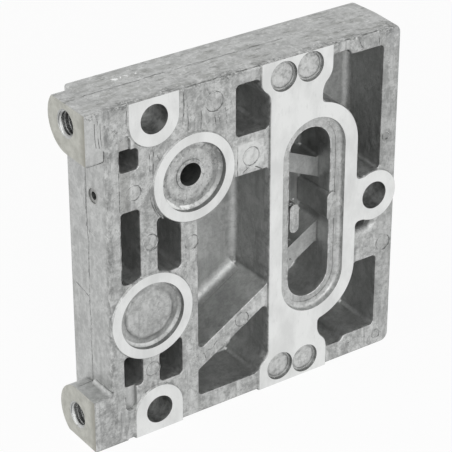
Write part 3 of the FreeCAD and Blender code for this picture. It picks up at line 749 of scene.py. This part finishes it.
# Strokes on the cast front, as (x, z) in mm: steps and joins of the mould's inserts beside the
# tie-rod boss, round the upper seat, between the pockets and on the ear. The sink is how deep
# the middle of a bead lies in the skin.
frontLines = {
    "radius": 0.17, "shake": 0.08, "sink": 0.05,
    "strokes": (
        ((8.2, 97.3), (9.0, 95.8), (10.2, 94.4), (11.7, 93.1), (13.5, 92.3)),
        ((4.9, 96.3), (5.5, 97.1), (6.7, 97.4), (8.1, 97.2)),
        ((8.15, 97.5), (8.1, 101.5), (8.2, 106.2)),
        ((6.9, 100.6), (6.9, 103.6), (7.5, 106.1)),
        ((15.3, 92.3), (15.3, 86.5), (14.9, 82.0), (14.75, 78.0), (15.2, 74.5), (16.4, 71.4),
         (18.2, 69.0)),
        ((14.1, 91.5), (14.0, 84.0), (13.9, 79.0), (14.2, 76.0), (15.2, 72.6), (16.6, 70.0)),
        ((16.4, 92.0), (16.9, 90.2), (16.6, 88.6), (17.6, 87.2), (18.6, 86.2)),
        ((25.3, 106.1), (25.5, 102.0), (25.4, 98.5), (24.9, 96.0)),
        ((26.6, 101.0), (26.8, 97.0), (26.9, 93.5)),
        ((32.4, 106.2), (33.0, 104.3), (34.0, 102.6)),
        ((31.0, 99.5), (31.2, 96.0), (31.0, 93.0)), ((35.5, 95.6), (35.9, 92.4)),
        ((36.9, 95.4), (37.5, 92.6)), ((39.0, 97.0), (39.7, 94.4), (39.4, 92.0)),
        ((43.25, 84.2), (43.2, 79.0), (43.3, 74.3)),
        ((45.0, 75.0), (46.2, 75.8), (47.3, 76.2)), ((49.4, 75.9), (50.8, 75.2), (51.8, 74.2)),
        ((4.25, 96.5), (4.2, 86.0), (4.3, 74.0), (4.2, 63.0), (4.3, 53.5)),
        ((4.5, 15.7), (4.3, 13.2), (4.6, 11.4), (5.6, 10.5), (6.9, 10.2)),
        ((8.6, 11.0), (9.4, 12.6), (10.8, 14.0), (12.6, 14.9), (14.8, 15.2)),
        ((17.9, 15.0), (20.0, 13.9), (21.7, 12.3)),
        ((31.4, 20.3), (32.2, 18.7), (32.2, 16.9)),
        ((25.1, 4.4), (27.0, 4.7), (29.4, 5.0)), ((84.0, 4.2), (88.0, 4.6), (91.5, 4.3)),
        ((85.6, 105.2), (86.0, 103.4), (87.2, 102.6)), ((92.7, 105.6), (92.8, 102.2)),
        ((95.3, 72.6), (95.2, 70.6), (96.0, 69.6)),
        ((-1.9, 105.0), (-2.0, 99.0), (-1.5, 96.2)),
    ),
    "crackRadius": 0.17,
    "cracks": (
        # the first crack is a dark bead along the upper ear's lower front edge, a painted shadow
        # where the ear overhangs the wall
        ((-5.6, 91.68), (-3.0, 91.72), (-0.5, 91.8), (-0.2, 92.6), (-0.4, 95.0)),
        ((-2.9, 103.8), (-3.0, 99.0), (-2.5, 96.6)), ((-1.1, 103.4), (-1.2, 98.6), (-0.7, 95.6)),
        ((33.0, 20.8), (34.0, 20.4), (34.9, 21.0), (35.2, 22.0), (36.2, 22.6)),
        ((29.0, 19.7), (29.4, 19.9)), ((27.6, 64.2), (28.0, 63.6)),
        ((7.9, 97.0), (7.7, 99.5), (7.9, 102.5)), ((85.9, 105.0), (86.0, 103.6)),
    ),
}


def makeFrontLines():
    look = frontLines
    depth = plate["castFront"] + look["sink"]
    strokes = [([spot(x, depth, z) for x, z in line], look["radius"], look["shake"])
               for line in look["strokes"]]
    addBeads("frontWitnessLines", strokes, seamMaterial)
    cracks = [([spot(x, depth + look["sink"], z) for x, z in line], look["crackRadius"],
               look["shake"] / 2) for line in look["cracks"]]
    addBeads("frontCracksAndShadow", cracks, crackAndShadowMaterial)


# Rings that the ejector pins leave round their marks: (x, z, radius) in mm on the cast front.
ejectorRings = {
    "radius": 0.17, "shake": 0.07, "sink": 0.07, "knots": 20,
    "places": ((8.9, 79.6, 2.35), (35.5, 99.8, 3.0), (47.9, 79.5, 2.9), (13.9, 62.7, 2.4),
               (27.6, 58.3, 2.35), (96.5, 72.0, 1.3), (13.9, 21.2, 2.35), (45.0, 26.9, 2.4),
               (97.1, 35.8, 2.6), (95.8, 3.7, 1.6)),
}


def makeEjectorRings():
    look = ejectorRings
    strokes = []
    for x, z, radius in look["places"]:
        ring = [spot(x + radius * math.cos(math.tau * step / look["knots"]),
                     plate["castFront"] + look["sink"],
                     z + radius * math.sin(math.tau * step / look["knots"]))
                for step in range(look["knots"])]
        strokes.append((ring, look["radius"], look["shake"]))
    addBeads("ejectorRings", strokes, seamMaterial, closed=True)


# Torn flash: rough beads along the front edge of the top, from x to x, and tangled ones at the
# slot's edges, as (x, z, reach), all in mm.
tornFlash = {
    "topStretches": ((-5.5, 7.6), (25.0, 51.6), (76.8, 98.5)), "knotMm": 0.8, "radius": 0.13,
    "shake": 0.10, "topY": 0.66, "topSway": 0.15, "topZ": 106.58, "passes": 2,
    "slotPlaces": ((63.0, 58.6, 1.2), (64.2, 58.2, 0.9), (62.9, 47.0, 0.9), (63.4, 40.2, 0.8),
                   (77.3, 58.4, 1.0), (78.6, 58.1, 0.7), (64.0, 60.2, 0.7)),
    "knotsPerPlace": 9, "slotRadius": 0.22,
}


def makeTornFlash():
    look = tornFlash
    strokes = []
    for start, end in look["topStretches"]:
        for run in range(look["passes"]):
            count = int((end - start) / look["knotMm"])
            line = [spot(start + (end - start) * step / count,
                         look["topY"] + random.uniform(0, look["topSway"]), look["topZ"])
                    for step in range(count + 1)]
            strokes.append((line, look["radius"], look["shake"]))
    for x, z, reach in look["slotPlaces"]:
        line = [spot(x + random.uniform(-reach, reach) / 2, plate["ledgeDepth"],
                     z + random.uniform(-reach, reach) / 2)
                for step in range(look["knotsPerPlace"])]
        strokes.append((line, look["slotRadius"], look["shake"]))
    addBeads("tornFlash", strokes, seamMaterial)


# The parting line down the left wall, as (y, z) in mm, with its two small steps aside.
wallSeams = {
    "radius": 0.10, "shake": 0.04, "sink": 0.02,
    "strokes": (((11.2, 90.0), (11.3, 80.0), (11.3, 73.0), (11.4, 67.4)),
                ((10.4, 66.6), (10.6, 59.0), (10.9, 52.0), (10.9, 46.2)),
                ((11.2, 45.6), (11.3, 38.0), (11.2, 30.0), (11.1, 22.0), (11.2, 15.4)),
                ((10.2, 66.4), (7.0, 65.9)),
                ((11.2, 67.4), (10.4, 66.6))),
    "cracks": (((11.7, 44.7), (13.0, 45.3), (15.4, 45.4), (18.4, 46.0)),), "crackRadius": 0.10,
}


def makeWallSeams():
    look = wallSeams
    for name, lines, radius, material in (
            ("wallPartingSeams", look["strokes"], look["radius"], seamMaterial),
            ("wallCracks", look["cracks"], look["crackRadius"], crackAndShadowMaterial)):
        strokes = []
        for line in lines:
            points = [spot(abs(y - plate["partingY"]) * plate["draft"] + look["sink"], y, z)
                      for y, z in line]
            strokes.append((points, radius, look["shake"]))
        addBeads(name, strokes, material)


# The raw lip round the slot's opening, pale partly as a painted highlight of its rounded edge: it
# runs at one distance from the slot's middle line, round an end, down a side, round the other end
# and back up.
slotLip = {"radius": 0.22, "shake": 0.09, "depth": 2.36, "away": 7.55, "knotsPerTurn": 16,
           "knotsPerSide": 24}


def makeSlotLip():
    look = slotLip
    rise, away = plate["slotRise"], look["away"]
    points = []
    for side in (1, -1):
        for step in range(look["knotsPerTurn"]):
            turn = math.pi * step / look["knotsPerTurn"] + (0 if side > 0 else math.pi)
            points.append((plate["slotX"] + away * math.cos(turn),
                           plate["midZ"] + side * rise + away * math.sin(turn)))
        for step in range(look["knotsPerSide"]):
            along = side * rise * (1 - 2 * step / look["knotsPerSide"])
            points.append((plate["slotX"] - side * away, plate["midZ"] + along))
    ring = [spot(x, look["depth"], z) for x, z in points]
    addBeads("slotLip", [(ring, look["radius"], look["shake"])], lipHighlightMaterial, closed=True)


# Wide soft fillets in the corners of the pockets: the two ends of the corner, the ways along
# its two walls, and the radius, in mm. Their hidden sides are buried in the walls.
pocketFillets = {
    "bury": 0.6,
    "places": (
        ((94.3, 16.4, 63.5), (94.3, 16.4, 100.5), (-1, 0, 0), (0, -1, 0), 2.5),
        ((53.7, 16.4, 38.5), (53.7, 16.4, 72.0), (-1, 0, 0), (0, -1, 0), 2.5),
        ((32.2, 16.4, 23.2), (52.8, 16.4, 35.6), (-0.515, 0, 0.857), (0, -1, 0), 3.4),
        ((94.4, 16.0, 6.25), (94.6, 3.2, 6.0), (-1, 0, 0), (0, 0, 1), 2.2),
    ),
}


def makePocketFillets():
    shape = bmesh.new()
    rows, bury = filletShape["rows"], pocketFillets["bury"]
    for start, end, first, second, radius in pocketFillets["places"]:
        corner = spot(*start)
        one, other = Vector(first) * mm, Vector(second) * mm
        outline = [corner - (one + other) * bury, corner + other * radius - one * bury]
        for row in range(rows + 1):
            turn = math.pi / 2 * row / rows
            outline.append(corner + one * radius * (1 - math.cos(turn))
                           + other * radius * (1 - math.sin(turn)))
        outline.append(corner + one * radius - other * bury)
        cap = shape.faces.new([shape.verts.new(point) for point in outline])
        grown = bmesh.ops.extrude_face_region(shape, geom=[cap])["geom"]
        moved = [part for part in grown if isinstance(part, bmesh.types.BMVert)]
        bmesh.ops.translate(shape, verts=moved, vec=spot(*end) - corner)
    bmesh.ops.recalc_face_normals(shape, faces=shape.faces)
    filletPiece("pocketFillets", shape, finishes[castFinish])


makeSeatFillets()
makeFrontLines()
makeEjectorRings()
makeTornFlash()
makeWallSeams()
makeSlotLip()
makePocketFillets()
print("seams and flash added")

# Stage: pale floor, soft lamps, and a white surround for the camera and the reflections.
stageLook = {"floor": "F2F2F2", "floorSize": 6.0, "shadowShare": 0.06, "roomLight": 0.35,
             "white": (1, 1, 1, 1)}


# How much a ray counts as one that sees the white surround.
def seesSurround(tree):
    path = addNode(tree, "ShaderNodeLightPath")
    seen = addNode(tree, "ShaderNodeMath", {"operation": "MAXIMUM"},
                   i0=path.outputs["Is Camera Ray"], i1=path.outputs["Is Glossy Ray"])
    both = addNode(tree, "ShaderNodeMath", {"operation": "MAXIMUM"}, i0=seen.outputs[0],
                   i1=path.outputs["Is Transmission Ray"])
    return both.outputs[0]


def makeFloor():
    shape = bmesh.new()
    bmesh.ops.create_grid(shape, x_segments=1, y_segments=1, size=stageLook["floorSize"] / 2)
    mesh = bpy.data.meshes.new("floor")
    shape.to_mesh(mesh)
    shape.free()
    floor = bpy.data.objects.new("floor", mesh)
    bpy.context.scene.collection.objects.link(floor)
    material, tree = newMaterial("paleFloor")
    plain = addNode(tree, "ShaderNodeBsdfDiffuse", Color=linear(stageLook["floor"]))
    white = addNode(tree, "ShaderNodeEmission", Color=stageLook["white"], Strength=1.0)
    share = addNode(tree, "ShaderNodeMath", {"operation": "MULTIPLY"}, i0=seesSurround(tree),
                    i1=1 - stageLook["shadowShare"])
    mix = addNode(tree, "ShaderNodeMixShader", Fac=share.outputs[0], i1=plain.outputs[0],
                  i2=white.outputs[0])
    addNode(tree, "ShaderNodeOutputMaterial", Surface=mix.outputs[0])
    floor.data.materials.append(material)


def makeWorld():
    world = bpy.data.worlds.new("softRoom")
    bpy.context.scene.world = world
    world.use_nodes = True
    tree = world.node_tree
    tree.nodes.clear()
    light = addNode(tree, "ShaderNodeBackground", Color=stageLook["white"],
                    Strength=stageLook["roomLight"])
    white = addNode(tree, "ShaderNodeBackground", Color=stageLook["white"], Strength=1.0)
    mix = addNode(tree, "ShaderNodeMixShader", Fac=seesSurround(tree), i1=light.outputs[0],
                  i2=white.outputs[0])
    addNode(tree, "ShaderNodeOutputWorld", Surface=mix.outputs[0])


# Each lamp's place and the side of its square in metres, and its power in watts. All of them
# look at the plate's middle.
lamps = {"key": ((-0.55, -1.1, 0.75), 0.7, 6.5), "fill": ((0.8, -0.8, 0.3), 0.8, 1.2),
         "left": ((-1.2, 0.1, 0.4), 0.7, 6.5)}
lampAim = (0, 0, 0.055)


def makeLamps():
    for name, (place, size, power) in lamps.items():
        light = bpy.data.lights.new(name, "AREA")
        light.size = size
        light.energy = power
        lamp = bpy.data.objects.new(name, light)
        bpy.context.scene.collection.objects.link(lamp)
        lamp.location = place
        aim = Vector(lampAim) - lamp.location
        lamp.rotation_euler = aim.to_track_quat("-Z", "Y").to_euler()


# The photo's view, solved from its circles and edges: lens and sensor in mm, the rest in metres.
view = {"lens": 163.96, "sensor": 36.0, "nearest": 0.01, "place": (-0.2996, -0.4276, 0.3428),
        "ahead": (0.5003, 0.7168, -0.4859)}


def makeCamera():
    data = bpy.data.cameras.new("camera")
    data.lens = view["lens"]
    data.sensor_width = view["sensor"]
    data.clip_start = view["nearest"]
    camera = bpy.data.objects.new("camera", data)
    bpy.context.scene.collection.objects.link(camera)
    camera.location = view["place"]
    camera.rotation_euler = Vector(view["ahead"]).to_track_quat("-Z", "Y").to_euler()
    bpy.context.scene.camera = camera


makeFloor()
makeWorld()
makeLamps()
makeCamera()
bpy.context.scene.view_settings.view_transform = "Standard"
print("stage set")
